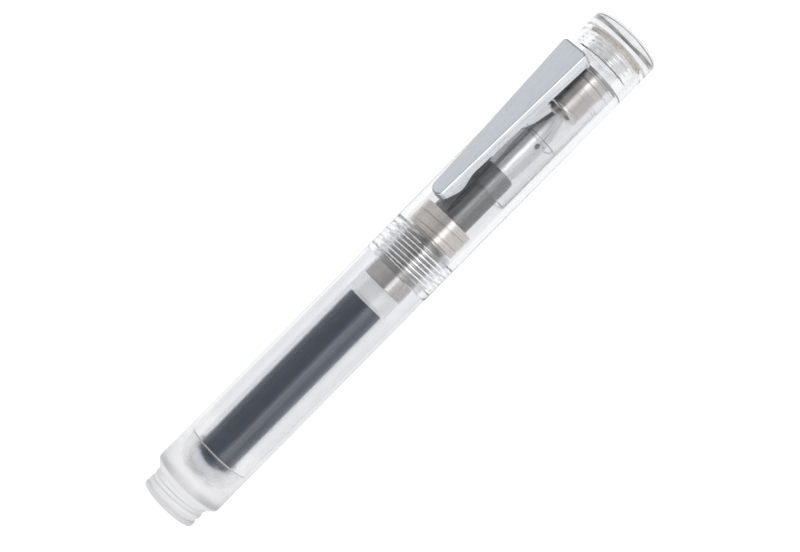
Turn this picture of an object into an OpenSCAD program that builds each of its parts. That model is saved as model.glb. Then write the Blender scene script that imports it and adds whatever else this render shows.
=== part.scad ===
// Clear pocket fountain pen, lying on its side with the clip upward.
// X runs from the tail of the barrel (-X) to the finial of the cap (+X).
// The origin is the middle of the footprint of the pen, on the surface that it lies on.
// Places along the pen are measured from the flat end of the tail.
// A thread is drawn at its crest, with ring grooves for its turns.

/* [Whole pen] */
// Length of the capped pen
pen_length = 107; // [106.8:0.1:107.5]
// Diameter of the barrel and the cap tube
pen_d = 13; // [12.9:0.1:13.6]

/* [Barrel] */
// Length of the threaded spigot at the tail
spigot_length = 3.6; // [3:0.1:4]
// Crest diameter of the spigot thread and of the neck thread
thread_d = 10.4; // [10.2:0.05:10.4]
// Where the cap mouth meets the shoulder of the barrel
lip_x = 52.8; // [52:0.1:53.5]
// Where the neck of the barrel ends
neck_end_x = 60.5; // [60:0.1:60.7]
// Diameter of the blind bore
barrel_bore_d = 7.9; // [7.9:0.05:8.2]
// Where the straight wall of the bore begins
bore_start_x = 11.7; // [11:0.1:12.5]
// Depth of the rounded bottom of the bore
bore_bottom_depth = 4.8; // [4:0.1:5]

/* [Cartridge] */
// Diameter of the cartridge
cartridge_d = 6.9; // [6.4:0.1:7]
// Wall of the cartridge
cartridge_wall = 0.35; // [0.25:0.05:0.5]
// Where the cartridge narrows to its neck
cartridge_shoulder_x = 46; // [44:0.5:46.5]
// Diameter of the cartridge neck
cartridge_neck_d = 5.1; // [4.8:0.1:5.2]
// Where the cartridge neck ends
cartridge_mouth_x = 51.8; // [51:0.1:52.5]

/* [Grip] */
// Diameter of the metal ring in front of the barrel
ring_d = 9.5; // [9:0.1:10]
// Where the metal ring begins
ring_start_x = 60.9; // [60.9:0.1:61.4]
// Where the metal ring ends and the grip shows
ring_end_x = 65.4; // [64.5:0.1:66]
// Diameter of the grip
grip_d = 7.06; // [6.9:0.02:7.3]
// Front end of the grip
grip_end_x = 76.7; // [76:0.1:77.5]

/* [Nib] */
// Widest diameter that the nib is rolled to
nib_d = 6.4; // [6:0.1:6.6]
// Thickness of the nib sheet
nib_sheet = 0.28; // [0.2:0.02:0.35]
// Place of the breather hole
breather_x = 83.6; // [82:0.1:85]
// End of the nib point
nib_end_x = 93.4; // [92.5:0.1:94]
// How far the nib is turned about the pen, from straight up
nib_turn = 62; // [0:1:90]

/* [Cap] */
// Bore of the cap tube
cap_bore_d = 10.6; // [10.6:0.05:10.8]
// Top end of the cap tube
cap_end_x = 104; // [103.9:0.1:104.2]
// Lip of the liner
liner_start_x = 72.5; // [71:0.1:74]
// Where the bore of the liner steps in
liner_step_x = 84.7; // [83:0.1:86]
// Closed end of the liner
liner_end_x = 97.8; // [97.7:0.05:97.85]
// Diameter of the metal bush
bush_d = 7.6; // [7:0.1:7.8]
// Mouth of the metal bush
bush_start_x = 90.6; // [90:0.1:91.5]
// Where the thread of the bush ends
bush_thread_end_x = 94.7; // [94:0.1:95.5]

/* [Clip] */
// Point of the clip
clip_start_x = 66.1; // [65.5:0.1:67]
// Head of the clip
clip_end_x = 98.4; // [98.3:0.05:98.5]
// Width of the clip at its head
clip_head_width = 5.3; // [4.8:0.1:5.6]
// Width of the clip at its point
clip_point_width = 2.7; // [2.4:0.1:3.2]
// Height of the clip's top face over the pen axis, at the head
clip_head_height = 10.6; // [10.4:0.05:10.8]
// Height of the clip's top face over the pen axis, at the point
clip_point_height = 10.1; // [10:0.05:10.4]
// Thickness of the clip sheet
clip_sheet = 0.5; // [0.4:0.05:0.6]
// Depth of the folded sides at the head
clip_head_depth = 2.8; // [2.6:0.1:3]
// Depth of the folded sides at the point
clip_point_depth = 2.1; // [1.9:0.1:2.2]
// Place of the bump that meets the cap
bump_x = 69.8; // [69:0.1:71]

/* [Finial] */
// Diameter of the finial stud
stud_d = 7; // [6.4:0.1:7]
// Inner end of the finial stud
stud_start_x = 100.4; // [100:0.1:101]
// Diameter of the centre line of the sealing ring
o_ring_d = 10; // [9.6:0.1:10.1]
// Thickness of the sealing ring
o_ring_section = 0.9; // [0.7:0.05:0.9]

/* [Hidden] */

$fn = 96;
pen_r = pen_d / 2;
thread_r = thread_d / 2;
thread_depth = 0.42;
thread_relief = 0.7;      // plain stretch at both ends of the neck thread
thread_pitch = 1.55;
fine_pitch = 0.7;
edge = 0.2;              // small edge breaks
slide_gap = 0.1;         // radial clearance of a sliding fit
face_gap = 0.05;         // gap between faces that only meet
spigot_chamfer = 1.2;
arc_steps = 8;           // straight steps in a rounded corner

bore_r = barrel_bore_d / 2;
bore_bottom_r = 1.4;     // flat end of the rounded bottom
cartridge_r = cartridge_d / 2;
cartridge_neck_r = cartridge_neck_d / 2;
cartridge_dome = 2.9;
ink_r = cartridge_r - cartridge_wall;
mouth_bore_r = 1.4;
mouth_bore_x = 48;
ball_r = 1.25;
ball_x = 43.8;

shank_r = bore_r - slide_gap;
shank_start_x = 49.7;
shank_bore_r = 3.3;
rear_lip_r = 2.9;
rear_lip_length = 2.3;
grip_r = grip_d / 2;
grip_spigot_start_x = 55;
housing_start_x = 66;
housing_r = 3.1;
housing_tail_r = 2.6;
nipple_r = mouth_bore_r - slide_gap;
nipple_bore_r = 0.7;
nipple_tip_x = 48.9;
nipple_base_x = 58.5;

nib_r = nib_d / 2;
nib_tail_r = 2.8;
nib_tail_x = 68;
nib_shoulder_x = 84.5;
nib_point_r = 1.0;
nib_point_width = 0.5;
breather_d = 1.0;
slit_width = 0.12;
tip_r = 0.34;
feed_tail_x = 64;
feed_nose_x = 89.8;
feed_nose_r = 0.7;
feed_waist_x = 86;       // where the feed is thin enough to clear the nib's edges
feed_waist_r = 1.5;
fin_pitch = 0.62;
fin_gap = 0.3;
fin_first_x = 78.2;
fin_count = 10;
fin_depth = 0.75;

cap_r = cap_bore_d / 2;
cap_chamber_r = 3.6;
ring_sheet = 0.5;
ring_x = clip_end_x - ring_sheet;
liner_r = 5.15;
liner_bore_r = 4.45;
liner_top_bore_r = 4.1;
liner_floor = 1.3;
liner_seat_length = 4;
bush_r = bush_d / 2;
bush_bore_r = 3.0;
bush_floor = 1.4;

slot_width = 2.9;
slot_play = 0.15;
tongue_width = slot_width - 2 * slot_play;
tongue_end_r = 5.85;
leg_foot_r = 5.95;
bump_length = 7;

stud_r = stud_d / 2;
o_ring_r = o_ring_section / 2;
head_edge_round = 0.9;
head_dome = 0.25;
head_flat_r = 2.5;

// A run of ring grooves, as [place, radius] points from x0 to x1
function grooves(x0, x1, crest_r, depth, pitch) =
    let (n = floor((x1 - x0) / pitch))
    [for (i = [0 : n - 1], p = [[0.10, 0], [0.35, 1], [0.65, 1], [0.90, 0]])
        [x0 + (i + p[0]) * pitch, crest_r - p[1] * depth]];

// Points on an arc about [x, r]; 0 degrees points along the pen and 90 degrees away from its axis
function bend(x, r, size, from, to) =
    [for (i = [0 : arc_steps]) let (a = from + (to - from) * i / arc_steps)
        [x + size * cos(a), r + size * sin(a)]];

// Puts a piece that is written about the pen axis, X along the pen and Z up, in its place
module pen() {
    translate([-pen_length / 2, 0, pen_r]) children();
}

// A turned piece from its outline, as [place, radius] points
module turned(outline) {
    pen() rotate([0, 90, 0]) rotate_extrude() polygon([for (p = outline) [p[1], p[0]]]);
}

// A plain round bar along the pen
module bar(x0, x1, r) {
    translate([x0, 0, 0]) rotate([0, 90, 0]) cylinder(r = r, h = x1 - x0);
}

module barrel() {
    color("gainsboro", 0.5) turned(concat(
        [[0, 0], [0, thread_r - edge], [edge, thread_r], [spigot_length, thread_r],
         [spigot_length + spigot_chamfer, pen_r], [lip_x - edge, pen_r], [lip_x, pen_r - edge],
         [lip_x, thread_r]],
        grooves(lip_x + thread_relief, neck_end_x - thread_relief, thread_r, thread_depth, thread_pitch),
        [[neck_end_x - edge, thread_r], [neck_end_x, thread_r - edge], [neck_end_x, bore_r],
         [bore_start_x, bore_r]],
        [for (i = [1 : arc_steps]) let (a = 90 * i / arc_steps)
            [bore_start_x - bore_bottom_depth * sin(a),
             bore_bottom_r + (bore_r - bore_bottom_r) * cos(a)]],
        [[bore_start_x - bore_bottom_depth, 0]]
    ));
}

module cartridge_body() {
    color("slategray", 0.6) turned(concat(
        [for (i = [0 : arc_steps]) let (a = 90 * i / arc_steps)
            [bore_start_x - cartridge_dome * cos(a), cartridge_r * sin(a)]],
        [[cartridge_shoulder_x, cartridge_r], [cartridge_shoulder_x + 0.6, cartridge_neck_r],
         [cartridge_mouth_x, cartridge_neck_r], [cartridge_mouth_x, mouth_bore_r],
         [mouth_bore_x, mouth_bore_r], [mouth_bore_x, cartridge_neck_r - cartridge_wall],
         [cartridge_shoulder_x, cartridge_neck_r - cartridge_wall], [cartridge_shoulder_x, ink_r]],
        [for (i = [0 : arc_steps]) let (a = 90 * i / arc_steps)
            [bore_start_x - (cartridge_dome - cartridge_wall) * sin(a), ink_r * cos(a)]]
    ));
}

module cartridge_ink() {
    color("darkslategray") difference() {
        turned(concat(
            [for (i = [0 : arc_steps]) let (a = 90 * i / arc_steps)
                [bore_start_x - (cartridge_dome - cartridge_wall) * cos(a), ink_r * sin(a)]],
            [[cartridge_shoulder_x, ink_r], [cartridge_shoulder_x, 0]]
        ));
        ball_shape();
    }
}

module ball_shape() {
    pen() translate([ball_x, 0, ball_r - ink_r + edge]) sphere(r = ball_r);
}

module cartridge_ball() {
    color("white") ball_shape();
}

module section_connector() {
    color("silver") turned(concat(
        [[shank_start_x, rear_lip_r], [shank_start_x, shank_r - edge], [shank_start_x + edge, shank_r]],
        grooves(lip_x + 0.6, ring_start_x - 0.6, shank_r, 0.3, fine_pitch),
        [[ring_start_x, shank_r], [ring_start_x, ring_d / 2 - edge], [ring_start_x + edge, ring_d / 2],
         [ring_end_x - edge, ring_d / 2], [ring_end_x, ring_d / 2 - edge], [ring_end_x, shank_bore_r],
         [shank_start_x + rear_lip_length, shank_bore_r], [shank_start_x + rear_lip_length, rear_lip_r]]
    ));
}

module grip_section() {
    color("dimgray") turned([
        [grip_spigot_start_x, housing_tail_r], [grip_spigot_start_x, shank_bore_r],
        [ring_end_x, shank_bore_r], [ring_end_x, grip_r], [grip_end_x - edge, grip_r],
        [grip_end_x, grip_r - edge], [grip_end_x, housing_r], [housing_start_x, housing_r],
        [housing_start_x, housing_tail_r]
    ]);
}

module nib_housing() {
    color("black") turned([
        [nipple_tip_x, nipple_bore_r], [nipple_tip_x, nipple_r - edge],
        [nipple_tip_x + 2 * edge, nipple_r], [nipple_base_x, nipple_r],
        [nipple_base_x, housing_tail_r], [housing_start_x, housing_tail_r],
        [housing_start_x, housing_r], [grip_end_x, housing_r], [grip_end_x, nib_tail_r],
        [nib_tail_x, nib_tail_r], [nib_tail_x, nib_tail_r - nib_sheet],
        [feed_tail_x, nib_tail_r - nib_sheet], [feed_tail_x, nipple_bore_r]
    ]);
}

// Everything that is turned with the nib
module nib_side() {
    pen() rotate([nib_turn, 0, 0]) children();
}

// Outer radius of the rolled nib along the pen
nib_curve = [[nib_tail_x, nib_tail_r], [grip_end_x, nib_tail_r],
             [grip_end_x + 3, nib_r], [nib_shoulder_x, nib_r],
             [87, 2.85], [90, 2.05], [nib_end_x, nib_point_r]];

// Half the width of the nib along the pen, seen from above
nib_plan = [[nib_tail_x, nib_tail_r + edge], [grip_end_x, nib_tail_r + edge],
            [grip_end_x + 3, nib_r - 0.1], [nib_shoulder_x - 2, nib_r - 0.1],
            [nib_shoulder_x, 2.9], [86, 2.3], [88, 1.4], [90, 0.85], [nib_end_x, nib_point_width / 2]];

module nib() {
    color("lightgray") nib_side() difference() {
        intersection() {
            rotate([0, 90, 0]) rotate_extrude() polygon(concat(
                [for (p = nib_curve) [p[1], p[0]]],
                [for (i = [len(nib_curve) - 1 : -1 : 0]) [nib_curve[i][1] - nib_sheet, nib_curve[i][0]]]
            ));
            linear_extrude(height = pen_r) polygon(concat(
                nib_plan,
                [for (i = [len(nib_plan) - 1 : -1 : 0]) [nib_plan[i][0], -nib_plan[i][1]]]
            ));
        }
        translate([breather_x, 0, 0]) cylinder(d = breather_d, h = pen_r);
        translate([breather_x, -slit_width / 2, 0]) cube([nib_end_x, slit_width, pen_r]);
    }
}

module nib_tip() {
    color("whitesmoke") nib_side()
        translate([nib_end_x + tip_r, 0, nib_point_r - nib_sheet / 2]) sphere(r = tip_r);
}

module feed() {
    nose = [feed_nose_x, feed_nose_r];
    color("black") nib_side() difference() {
        rotate([0, 90, 0]) rotate_extrude() polygon([
            [0, feed_tail_x], [nib_tail_r - nib_sheet, feed_tail_x],
            [nib_tail_r - nib_sheet, grip_end_x], [nib_r - nib_sheet, grip_end_x + 3],
            [nib_r - nib_sheet, nib_shoulder_x], [feed_waist_r, feed_waist_x],
            [nose[1], nose[0]], [0, nose[0]]
        ]);
        // the air side of the feed is cut into thin fins
        for (i = [0 : fin_count - 1]) difference() {
            bar(fin_first_x + i * fin_pitch, fin_first_x + i * fin_pitch + fin_gap, pen_r);
            bar(fin_first_x, nose[0], nib_r - nib_sheet - fin_depth);
            translate([fin_first_x, -pen_r, -0.5]) cube([nose[0], pen_d, pen_r]);
        }
    }
}

module cap_tube() {
    mouth_x = lip_x + face_gap;
    top_x = cap_end_x - face_gap;
    seat_r = o_ring_d / 2 + o_ring_r + face_gap;
    seat_x = cap_end_x - o_ring_section - face_gap;
    color("gainsboro", 0.5) difference() {
        turned([
            [mouth_x, cap_r], [mouth_x, pen_r - edge], [mouth_x + edge, pen_r],
            [top_x - edge, pen_r], [top_x, pen_r - edge],
            [top_x, seat_r], [seat_x, seat_r], [seat_x, cap_chamber_r],
            [clip_end_x, cap_chamber_r], [clip_end_x, cap_r]
        ]);
        pen() translate([ring_x - slot_play, -slot_width / 2, 0])
            cube([ring_sheet + 2 * slot_play, slot_width, pen_d]);
    }
}

module inner_cap() {
    color("gainsboro", 0.5) turned([
        [liner_start_x, liner_bore_r], [liner_start_x, liner_r - edge], [liner_start_x + edge, liner_r],
        [liner_end_x - liner_seat_length, liner_r], [liner_end_x - liner_seat_length, cap_r],
        [liner_end_x, cap_r], [liner_end_x, bush_r], [liner_end_x - liner_floor, bush_r],
        [liner_end_x - liner_floor, liner_top_bore_r], [liner_step_x, liner_top_bore_r],
        [liner_step_x, liner_bore_r]
    ]);
}

module cap_bush() {
    color("silver") turned(concat(
        [[bush_start_x, bush_bore_r], [bush_start_x, bush_r - edge], [bush_start_x + edge, bush_r]],
        grooves(bush_start_x + 0.5, bush_thread_end_x, bush_r, 0.25, fine_pitch),
        [[liner_end_x, bush_r], [liner_end_x, 0], [liner_end_x - bush_floor, 0],
         [liner_end_x - bush_floor, bush_bore_r]]
    ));
}

module clip_ring() {
    color("silver") pen() difference() {
        union() {
            bar(ring_x, clip_end_x, cap_r);
            translate([ring_x, -tongue_width / 2, 0]) cube([ring_sheet, tongue_width, tongue_end_r]);
        }
        bar(ring_x - 1, clip_end_x + 1, cap_chamber_r);
    }
}

// Seen from above: the clip narrows to a round point
module clip_plan(inset) {
    round_r = clip_point_width / 2;
    head = clip_head_width / 2 - inset;
    polygon([[clip_end_x - inset, head], [clip_end_x - inset, -head],
             [clip_start_x + round_r, inset - round_r], [clip_start_x + round_r, round_r - inset]]);
    translate([clip_start_x + round_r, 0]) circle(r = round_r - inset);
}

// Seen from the side: flat top, folded sides, and the bump that meets the cap
module clip_side() {
    low = clip_point_height - clip_point_depth;
    polygon(concat(
        [[clip_start_x, clip_point_height], [clip_end_x, clip_head_height],
         [clip_end_x, clip_head_height - clip_head_depth]],
        [for (i = [arc_steps : -1 : -arc_steps]) let (a = 90 * i / arc_steps)
            [bump_x + bump_length / 2 * i / arc_steps, low - (low - pen_r - slide_gap) * pow(cos(a), 2)]],
        [[clip_start_x, low + 0.6]]
    ));
}

module clip() {
    leg_width = clip_head_width - 2 * clip_sheet;
    color("silver") pen() {
        difference() {
            intersection() {
                linear_extrude(height = pen_d) clip_plan(0);
                rotate([90, 0, 0]) linear_extrude(height = pen_d, center = true) clip_side();
            }
            intersection() {
                linear_extrude(height = pen_d) clip_plan(clip_sheet);
                rotate([90, 0, 0]) linear_extrude(height = pen_d, center = true)
                    translate([0, -clip_sheet]) polygon([
                        [clip_start_x, 0], [clip_start_x, clip_point_height],
                        [clip_end_x, clip_head_height], [clip_end_x, 0]]);
            }
        }
        translate([ring_x, -tongue_width / 2, leg_foot_r])
            cube([ring_sheet, tongue_width, clip_head_height - clip_head_depth - leg_foot_r + 1]);
    }
}

module finial() {
    head_x = pen_length - head_dome;
    color("gainsboro", 0.5) turned(concat(
        [[stud_start_x, 0], [stud_start_x, stud_r - edge], [stud_start_x + edge, stud_r]],
        grooves(stud_start_x + 0.3, cap_end_x - 0.2, stud_r, 0.25, fine_pitch),
        [[cap_end_x, stud_r], [cap_end_x, pen_r - edge], [cap_end_x + edge, pen_r]],
        bend(head_x - head_edge_round, pen_r - head_edge_round, head_edge_round, 90, 20),
        [[pen_length - face_gap, head_flat_r], [pen_length, 0]]
    ));
}

module finial_o_ring() {
    color("khaki") pen() translate([cap_end_x - o_ring_r, 0, 0])
        rotate([0, 90, 0]) rotate_extrude() translate([o_ring_d / 2, 0]) circle(r = o_ring_r, $fn = 48);
}

barrel();
cartridge_body();
cartridge_ink();
cartridge_ball();
section_connector();
grip_section();
nib_housing();
feed();
nib();
nib_tip();
cap_tube();
inner_cap();
cap_bush();
clip_ring();
clip();
finial();
finial_o_ring();
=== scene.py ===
# %% [markdown]
# # A clear pocket fountain pen
# The pen is a row of turned pieces on one axis: a clear barrel, a metal connector, a black grip with the
# nib in it, and a clear cap with a liner, a metal bush, a folded clip and a screwed-in finial. The CAD frame
# says where each piece sits and how it moves. This script gives each piece its real surface: threads,
# rounded edges, thin sheet metal, and finishes that light can pass through.

# %% Load the frame
import math

import bmesh
import bpy
from mathutils import Matrix, Vector


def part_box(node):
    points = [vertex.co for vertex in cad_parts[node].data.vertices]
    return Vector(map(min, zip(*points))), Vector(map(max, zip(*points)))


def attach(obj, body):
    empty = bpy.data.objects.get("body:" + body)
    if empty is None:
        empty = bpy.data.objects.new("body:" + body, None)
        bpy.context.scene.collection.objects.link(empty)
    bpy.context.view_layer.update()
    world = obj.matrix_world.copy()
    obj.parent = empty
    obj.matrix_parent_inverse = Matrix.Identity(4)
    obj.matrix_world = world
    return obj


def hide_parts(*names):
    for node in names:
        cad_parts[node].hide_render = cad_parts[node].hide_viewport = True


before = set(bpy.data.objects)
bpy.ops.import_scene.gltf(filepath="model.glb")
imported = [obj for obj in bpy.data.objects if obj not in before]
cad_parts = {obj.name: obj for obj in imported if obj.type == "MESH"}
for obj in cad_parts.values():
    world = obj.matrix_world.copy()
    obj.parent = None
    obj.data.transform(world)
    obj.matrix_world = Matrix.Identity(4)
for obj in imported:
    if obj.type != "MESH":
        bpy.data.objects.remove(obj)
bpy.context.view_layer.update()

# %% [markdown]
# Every turned piece is drawn by its outline: how far along the pen, and how far from its axis. Workshop
# drawings give both in millimetres from the flat tail, so the outlines here do too, and one function turns
# them into metres in the frame. What the frame already knows, such as where a tube ends, is asked for.

# %% Measures in millimetres from the tail
MM = 0.001
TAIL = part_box("barrel")[0][0]
PEN_R = (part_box("barrel")[1][1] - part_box("barrel")[0][1]) / 2 / MM
AXIS_Z = (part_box("barrel")[0][2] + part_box("barrel")[1][2]) / 2


def start_of(node):
    return (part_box(node)[0][0] - TAIL) / MM


def end_of(node):
    return (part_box(node)[1][0] - TAIL) / MM


def radius_of(node):
    low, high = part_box(node)
    return (high[1] - low[1]) / 2 / MM


LIP = start_of("cap_tube")
NECK_END = end_of("barrel")
CAP_END = end_of("cap_tube")
PEN_END = end_of("finial")
print("cap mouth, neck end, cap end, pen end:", LIP, NECK_END, CAP_END, PEN_END)

# %% [markdown]
# The camera looks down on the pen from one side, close enough for a little perspective, and is rolled so
# that the pen runs from low left to high right. A camera's turn is a matrix whose columns are its right, its
# up and its back, so the roll is just a mix of the first two.

# %% Camera
ELEVATION = math.radians(62)
ROLL = math.radians(45.35)
DISTANCE = 0.245
back = Vector((0, -math.cos(ELEVATION), math.sin(ELEVATION)))
level_up = Vector((0, math.sin(ELEVATION), math.cos(ELEVATION)))
right = Vector((math.cos(ROLL), 0, 0)) - math.sin(ROLL) * level_up
up = Vector((math.sin(ROLL), 0, 0)) + math.cos(ROLL) * level_up
aim = Vector((TAIL + 53.1 * MM, 0, AXIS_Z)) - 0.0008 * level_up
camera = bpy.data.objects.new("camera", bpy.data.cameras.new("camera"))
camera.data.lens = 67.5
camera.data.clip_start = 0.01
turn = Matrix((right, up, back)).transposed().to_4x4()
camera.matrix_world = Matrix.Translation(aim + DISTANCE * back) @ turn
bpy.context.scene.collection.objects.link(camera)
bpy.context.scene.camera = camera
print("camera at", [round(v, 4) for v in camera.location])

# %% [markdown]
# Clear plastic shows nothing of its own: it shows bent views of the light around it. So the light is a
# white tent, as for a catalogue picture, with one long bright window low on the near side, and a dimmer
# gap overhead, where the camera stands. The tent is painted on the world by angle round the pen's axis,
# because a highlight on a tube depends on that angle. Its two ends are dimmer, and that is what draws
# threads and ring grooves on the metal. It has no small lamps, so the glass stays free of grain.

# %% Light tent
# (degrees round the pen's axis, brightness)
TENT = [(-180, 0.9), (-40, 0.9), (-5, 0.95), (10, 1.25), (26, 1.25), (31, 2.3), (46, 2.3), (52, 0.95),
        (58, 0.7), (74, 0.66), (82, 0.82), (102, 0.82), (112, 0.95), (180, 0.9)]
TENT_PEAK = max(level for _, level in TENT)
END_DIMMING = 0.3               # how bright the tent's two ends are, as a share of its middle
world = bpy.data.worlds.new("light_tent")
bpy.context.scene.world = world
world.use_nodes = True
tree = world.node_tree
tree.nodes.clear()
towards = tree.nodes.new("ShaderNodeTexCoord")
parts = tree.nodes.new("ShaderNodeSeparateXYZ")
flip = tree.nodes.new("ShaderNodeMath")
flip.operation = "MULTIPLY"
flip.inputs[1].default_value = -1
angle = tree.nodes.new("ShaderNodeMath")
angle.operation = "ARCTAN2"
spread = tree.nodes.new("ShaderNodeMapRange")
spread.inputs["From Min"].default_value = -math.pi
spread.inputs["From Max"].default_value = math.pi
ramp = tree.nodes.new("ShaderNodeValToRGB")
ramp.color_ramp.interpolation = "LINEAR"
while len(ramp.color_ramp.elements) < len(TENT):
    ramp.color_ramp.elements.new(0.5)
for stop, (degrees, level) in zip(ramp.color_ramp.elements, TENT):
    stop.position = (degrees + 180) / 360
    stop.color = (level / TENT_PEAK,) * 3 + (1,)
glow = tree.nodes.new("ShaderNodeBackground")
lengthwise = tree.nodes.new("ShaderNodeMath")
lengthwise.operation = "ABSOLUTE"
dim_ends = tree.nodes.new("ShaderNodeMapRange")
for socket, value in (("From Min", 0.3), ("From Max", 0.75),
                      ("To Min", TENT_PEAK), ("To Max", END_DIMMING * TENT_PEAK)):
    dim_ends.inputs[socket].default_value = value
sky = tree.nodes.new("ShaderNodeOutputWorld")
tree.links.new(towards.outputs["Generated"], parts.inputs[0])
tree.links.new(parts.outputs["Y"], flip.inputs[0])
tree.links.new(parts.outputs["Z"], angle.inputs[0])
tree.links.new(flip.outputs[0], angle.inputs[1])
tree.links.new(angle.outputs[0], spread.inputs["Value"])
tree.links.new(spread.outputs["Result"], ramp.inputs["Fac"])
tree.links.new(ramp.outputs["Color"], glow.inputs["Color"])
tree.links.new(parts.outputs["X"], lengthwise.inputs[0])
tree.links.new(lengthwise.outputs[0], dim_ends.inputs["Value"])
tree.links.new(dim_ends.outputs["Result"], glow.inputs["Strength"])
tree.links.new(glow.outputs[0], sky.inputs["Surface"])
bpy.context.scene.view_settings.view_transform = "Standard"
LIGHT_PATHS = 32                # a ray crosses many faces before it leaves nested clear tubes
bpy.context.scene.cycles.max_bounces = LIGHT_PATHS
bpy.context.scene.cycles.transmission_bounces = LIGHT_PATHS
bpy.context.scene.cycles.glossy_bounces = LIGHT_PATHS

# %% [markdown]
# A finish is more than a colour. Each one below starts from the same few helpers: a shader with its plain
# values, grain made by stretching noise along one direction, and roughness that wanders a little. The
# patterns read Object coordinates, so they stay on a piece when a joint moves it.

# %% Finish helpers
def finish(name, **values):
    """A material with one shader, its plain values set on the shader's own sockets."""
    made = bpy.data.materials.new(name)
    made.use_nodes = True
    shader = made.node_tree.nodes["Principled BSDF"]
    for socket, value in values.items():
        shader.inputs[socket.replace("_", " ")].default_value = value
    return made


def shader_of(material):
    return material.node_tree.nodes["Principled BSDF"]


def grain(material, scale, detail=3.0):
    """Noise on Object coordinates, scaled per axis in grains to the metre. Returns its output socket."""
    nodes, links = material.node_tree.nodes, material.node_tree.links
    place = nodes.new("ShaderNodeTexCoord")
    stretch = nodes.new("ShaderNodeMapping")
    stretch.inputs["Scale"].default_value = scale
    noise = nodes.new("ShaderNodeTexNoise")
    noise.inputs["Scale"].default_value = 1.0
    noise.inputs["Detail"].default_value = detail
    links.new(place.outputs["Object"], stretch.inputs["Vector"])
    links.new(stretch.outputs["Vector"], noise.inputs["Vector"])
    return noise.outputs["Fac"]


def wander(material, socket, source, low, high):
    """Drives a shader socket from a pattern, between two values."""
    nodes, links = material.node_tree.nodes, material.node_tree.links
    band = nodes.new("ShaderNodeMapRange")
    band.inputs["From Min"].default_value = 0.3
    band.inputs["From Max"].default_value = 0.7
    band.inputs["To Min"].default_value = low
    band.inputs["To Max"].default_value = high
    links.new(source, band.inputs["Value"])
    links.new(band.outputs["Result"], shader_of(material).inputs[socket])


def tint(material, source, dark, light):
    """Colours a finish between two shades by a pattern."""
    nodes, links = material.node_tree.nodes, material.node_tree.links
    shades = nodes.new("ShaderNodeValToRGB")
    shades.color_ramp.elements[0].position = 0.3
    shades.color_ramp.elements[1].position = 0.7
    shades.color_ramp.elements[0].color = (*dark, 1)
    shades.color_ramp.elements[1].color = (*light, 1)
    links.new(source, shades.inputs["Fac"])
    links.new(shades.outputs["Color"], shader_of(material).inputs["Base Color"])


def relief(material, source, strength, depth):
    """Raises and lowers a surface by a pattern, to a depth in metres."""
    nodes, links = material.node_tree.nodes, material.node_tree.links
    bump = nodes.new("ShaderNodeBump")
    bump.inputs["Strength"].default_value = strength
    bump.inputs["Distance"].default_value = depth
    links.new(source, bump.inputs["Height"])
    links.new(bump.outputs["Normal"], shader_of(material).inputs["Normal"])


# %% [markdown]
# Acrylic is turned from rod and polished outside, so it is clear with the faintest ripple. The barrel is
# hazier than the cap. Haze all through the plastic would need a scattering volume, and here a greyer tint
# stands for it. The barrel's bore is left as the reamer made it: a fine frost, which softens what lies
# inside. Its bottom is coarser, as drilled.

# %% Clear plastics
ACRYLIC_IOR = 1.49
RINGS = (9000, 60, 60)          # tool marks round a turned piece: fine along the pen, long round it
CLOUDS = (350, 350, 350)


def clear_acrylic(name, colour, smoothest, roughest):
    made = finish(name, Base_Color=(*colour, 1), Transmission_Weight=1.0, IOR=ACRYLIC_IOR)
    wander(made, "Roughness", grain(made, CLOUDS), smoothest, roughest)
    return made


acrylic = clear_acrylic("acrylic_polished", (0.87, 0.875, 0.885), 0.03, 0.06)
barrel_clear = clear_acrylic("acrylic_barrel", (0.74, 0.75, 0.775), 0.03, 0.06)
for polished in (acrylic, barrel_clear):
    relief(polished, grain(polished, (500, 120, 120), 1.0), 0.03, 0.00002)
frost = clear_acrylic("acrylic_frosted", (0.92, 0.94, 0.98), 0.19, 0.23)
drilled = clear_acrylic("acrylic_drilled", (0.78, 0.79, 0.82), 0.4, 0.46)

# painted highlight: a matt white ring of colour stands for the light caught by the small step at the bottom
# of the bore
bore_step_painted_highlight = finish("tool_mark_white")
tint(bore_step_painted_highlight, grain(bore_step_painted_highlight, CLOUDS), (0.88, 0.88, 0.88), (0.96, 0.96, 0.96))
wander(bore_step_painted_highlight, "Roughness", grain(bore_step_painted_highlight, CLOUDS), 0.5, 0.7)

# the outside was handled most at both ends, so its polish fades into satin there
satin = finish("acrylic_satin", Base_Color=(0.82, 0.82, 0.83, 1), Transmission_Weight=1.0, IOR=ACRYLIC_IOR)
SATIN_START, SATIN_END = 6.0, 16.0   # where the satin of the tail starts to fade, and has faded out
along_pen = satin.node_tree.nodes.new("ShaderNodeTexCoord")
pick_x = satin.node_tree.nodes.new("ShaderNodeSeparateXYZ")
fade = satin.node_tree.nodes.new("ShaderNodeMapRange")
for socket, value in (("From Min", TAIL + SATIN_START * MM), ("From Max", TAIL + SATIN_END * MM),
                      ("To Min", 0.34), ("To Max", 0.08)):
    fade.inputs[socket].default_value = value
satin.node_tree.links.new(along_pen.outputs["Object"], pick_x.inputs[0])
satin.node_tree.links.new(pick_x.outputs["X"], fade.inputs["Value"])
satin.node_tree.links.new(fade.outputs["Result"], shader_of(satin).inputs["Roughness"])
relief(satin, grain(satin, RINGS), 0.12, 0.00001)

# the neck's own milky white, plus a faint painted glow from emission that stands for the light it gathers
neck_painted_glow = finish("cartridge_neck_white", Transmission_Weight=0.3, IOR=1.5, Emission_Color=(1, 1, 1, 1),
                    Emission_Strength=0.2)
tint(neck_painted_glow, grain(neck_painted_glow, CLOUDS), (0.9, 0.9, 0.9), (0.97, 0.97, 0.97))
wander(neck_painted_glow, "Roughness", grain(neck_painted_glow, CLOUDS), 0.35, 0.5)

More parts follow.
